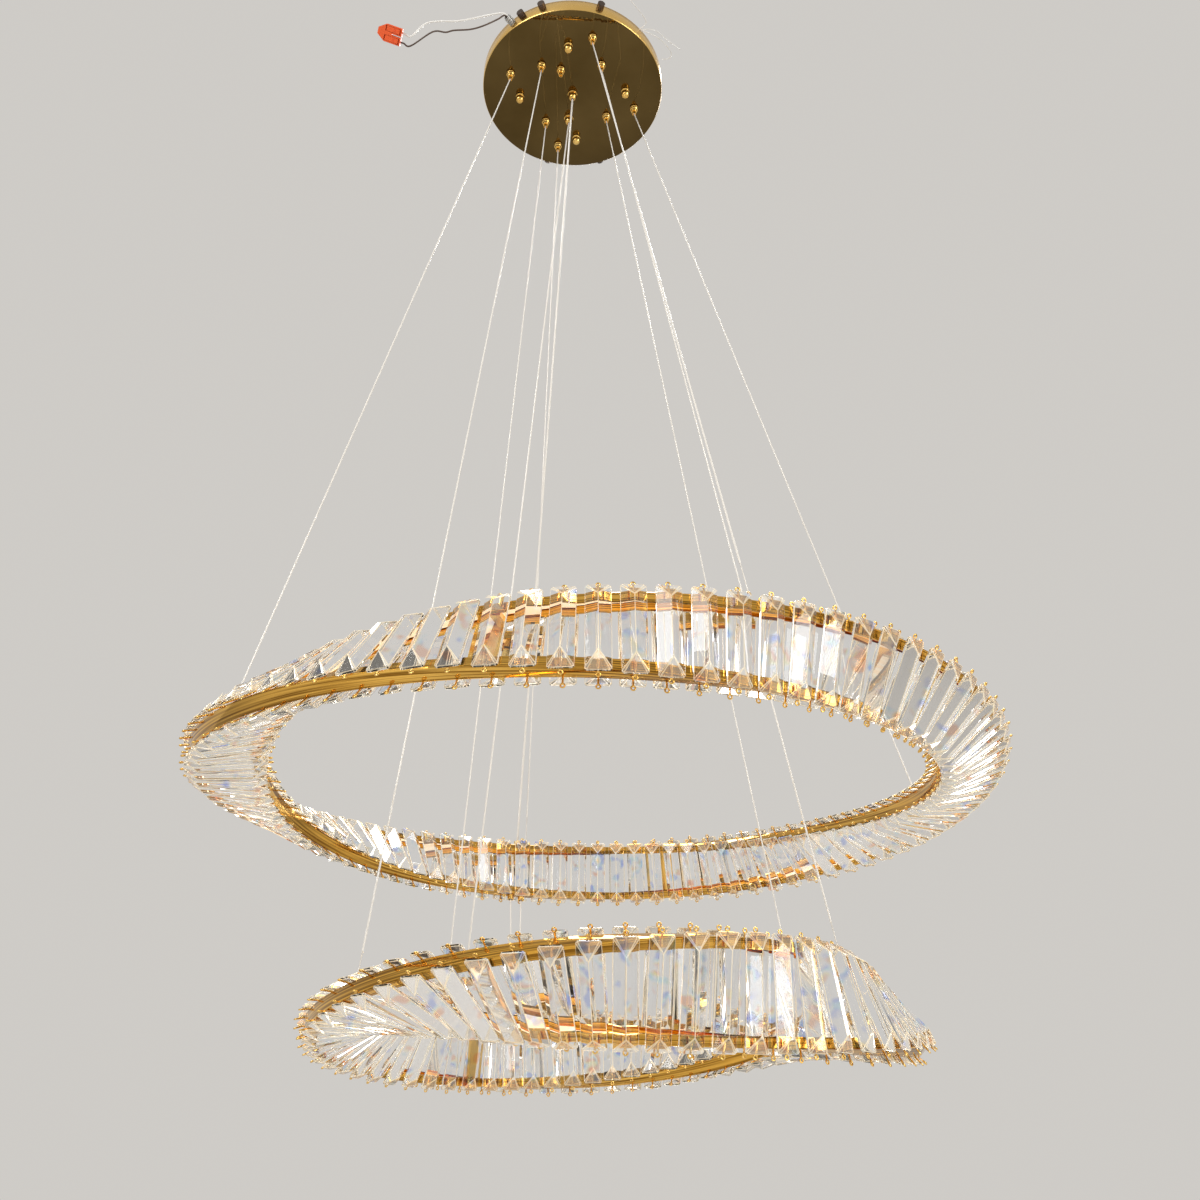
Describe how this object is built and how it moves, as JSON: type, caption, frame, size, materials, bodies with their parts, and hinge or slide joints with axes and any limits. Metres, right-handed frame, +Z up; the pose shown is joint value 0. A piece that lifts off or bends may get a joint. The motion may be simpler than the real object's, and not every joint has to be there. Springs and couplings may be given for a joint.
{
  "type": "two-ring crystal pendant chandelier",
  "caption": "Pendant chandelier with twisted rings of clear crystal bars on gold rails, hung on fine wires from a round polished canopy.",
  "frame": {"origin": "centre of the canopy on the ceiling plane", "axes": "+Z up to the ceiling, +X to the right, +Y to the back as the picture shows it"},
  "size_m": [0.8094, 0.7702, 1.3432],
  "materials": {
    "canopy_gold": "mirror polished gold plate",
    "gold_metal": "polished gold plate",
    "crystal": "clear cut crystal",
    "light_strip": "diffusing",
    "steel": "zinc plated",
    "wire_steel": "fine stranded wire in a clear sleeve",
    "clear_sheath": "clear sheath",
    "dark_metal": "dark bronze",
    "white_plastic": "matt",
    "white_sheath": "satin",
    "brown_sheath": "satin",
    "orange_plastic": "satin"
  },
  "bodies": {
    "canopy": {"ceiling_bracket": "steel", "bracket_studs": "steel", "canopy_pan": "canopy_gold", "side_screws": "dark_metal", "cap_nuts": "gold_metal", "gripper_bodies": "gold_metal", "gripper_locknuts": "gold_metal", "cable_glands": "gold_metal", "gland_locknuts": "gold_metal", "led_driver_upper": "white_plastic", "led_driver_lower": "white_plastic", "terminal_block": "white_plastic", "strain_relief": "steel", "clamp_knob": "dark_metal", "lead_white": "white_sheath", "lead_brown": "brown_sheath", "wire_connector": "orange_plastic", "wire_tail_1": "white_sheath", "wire_tail_2": "white_sheath", "wire_tail_3": "white_sheath", "upper_wires": "wire_steel", "lower_wires": "wire_steel", "upper_cable": "clear_sheath", "lower_cable": "clear_sheath"},
    "upper_ring": {"ring_link_leads": "clear_sheath", "upper_rail_a": "gold_metal", "upper_rail_b": "gold_metal", "upper_strip_a": "light_strip", "upper_strip_b": "light_strip", "upper_spreaders": "gold_metal", "upper_crystals_front": "crystal", "upper_crystals_back": "crystal", "upper_eyelets_front": "gold_metal", "upper_eyelets_back": "gold_metal", "upper_wire_posts": "gold_metal", "upper_cable_glands": "gold_metal"},
    "lower_ring": {"lower_rail_a": "gold_metal", "lower_rail_b": "gold_metal", "lower_strip_a": "light_strip", "lower_strip_b": "light_strip", "lower_spreaders": "gold_metal", "lower_crystals_front": "crystal", "lower_crystals_back": "crystal", "lower_eyelets_front": "gold_metal", "lower_eyelets_back": "gold_metal", "lower_wire_posts": "gold_metal", "lower_cable_glands": "gold_metal"},
    "gripper_nozzle_1_body": {"gripper_nozzle_1": "gold_metal"},
    "gripper_nozzle_2_body": {"gripper_nozzle_2": "gold_metal"},
    "gripper_nozzle_3_body": {"gripper_nozzle_3": "gold_metal"},
    "gripper_nozzle_4_body": {"gripper_nozzle_4": "gold_metal"},
    "gripper_nozzle_5_body": {"gripper_nozzle_5": "gold_metal"},
    "gripper_nozzle_6_body": {"gripper_nozzle_6": "gold_metal"},
    "gripper_nozzle_7_body": {"gripper_nozzle_7": "gold_metal"},
    "gripper_nozzle_8_body": {"gripper_nozzle_8": "gold_metal"},
    "gripper_nozzle_9_body": {"gripper_nozzle_9": "gold_metal"},
    "connector_lever_1_body": {"connector_lever_1": "orange_plastic"},
    "connector_lever_2_body": {"connector_lever_2": "orange_plastic"}
  },
  "joints": [
    {"name": "upper_ring_height", "type": "slide", "parent": "canopy", "child": "upper_ring", "axis": [0, 0, 1], "range_m": [0, 0.5], "deforming": ["upper_wires", "upper_cable"]},
    {"name": "lower_ring_height", "type": "slide", "parent": "canopy", "child": "lower_ring", "axis": [0, 0, 1], "range_m": [0, 0.5], "deforming": ["lower_wires", "lower_cable"]},
    {"name": "gripper_release_1", "type": "slide", "parent": "canopy", "child": "gripper_nozzle_1_body", "axis": [0, 0, 1], "range_m": [0, 0.002], "stiffness_N_per_m": 400, "springref_m": -0.002},
    {"name": "gripper_release_2", "type": "slide", "parent": "canopy", "child": "gripper_nozzle_2_body", "axis": [0, 0, 1], "range_m": [0, 0.002], "stiffness_N_per_m": 400, "springref_m": -0.002},
    {"name": "gripper_release_3", "type": "slide", "parent": "canopy", "child": "gripper_nozzle_3_body", "axis": [0, 0, 1], "range_m": [0, 0.002], "stiffness_N_per_m": 400, "springref_m": -0.002},
    {"name": "gripper_release_4", "type": "slide", "parent": "canopy", "child": "gripper_nozzle_4_body", "axis": [0, 0, 1], "range_m": [0, 0.002], "stiffness_N_per_m": 400, "springref_m": -0.002},
    {"name": "gripper_release_5", "type": "slide", "parent": "canopy", "child": "gripper_nozzle_5_body", "axis": [0, 0, 1], "range_m": [0, 0.002], "stiffness_N_per_m": 400, "springref_m": -0.002},
    {"name": "gripper_release_6", "type": "slide", "parent": "canopy", "child": "gripper_nozzle_6_body", "axis": [0, 0, 1], "range_m": [0, 0.002], "stiffness_N_per_m": 400, "springref_m": -0.002},
    {"name": "gripper_release_7", "type": "slide", "parent": "canopy", "child": "gripper_nozzle_7_body", "axis": [0, 0, 1], "range_m": [0, 0.002], "stiffness_N_per_m": 400, "springref_m": -0.002},
    {"name": "gripper_release_8", "type": "slide", "parent": "canopy", "child": "gripper_nozzle_8_body", "axis": [0, 0, 1], "range_m": [0, 0.002], "stiffness_N_per_m": 400, "springref_m": -0.002},
    {"name": "gripper_release_9", "type": "slide", "parent": "canopy", "child": "gripper_nozzle_9_body", "axis": [0, 0, 1], "range_m": [0, 0.002], "stiffness_N_per_m": 400, "springref_m": -0.002},
    {"name": "connector_lever_1_swing", "type": "hinge", "parent": "canopy", "child": "connector_lever_1_body", "pos_m": [-0.2492, -0.11295, -0.03351], "axis": [-0.309, 0.7791, -0.5455], "range_deg": [0, 90]},
    {"name": "connector_lever_2_swing", "type": "hinge", "parent": "canopy", "child": "connector_lever_2_body", "pos_m": [-0.25284, -0.10376, -0.03995], "axis": [-0.309, 0.7791, -0.5455], "range_deg": [0, 90]}
  ],
  "couplings": [
    {"joint": "lower_ring_height", "follows": "upper_ring_height", "ratio": 1}
  ]
}
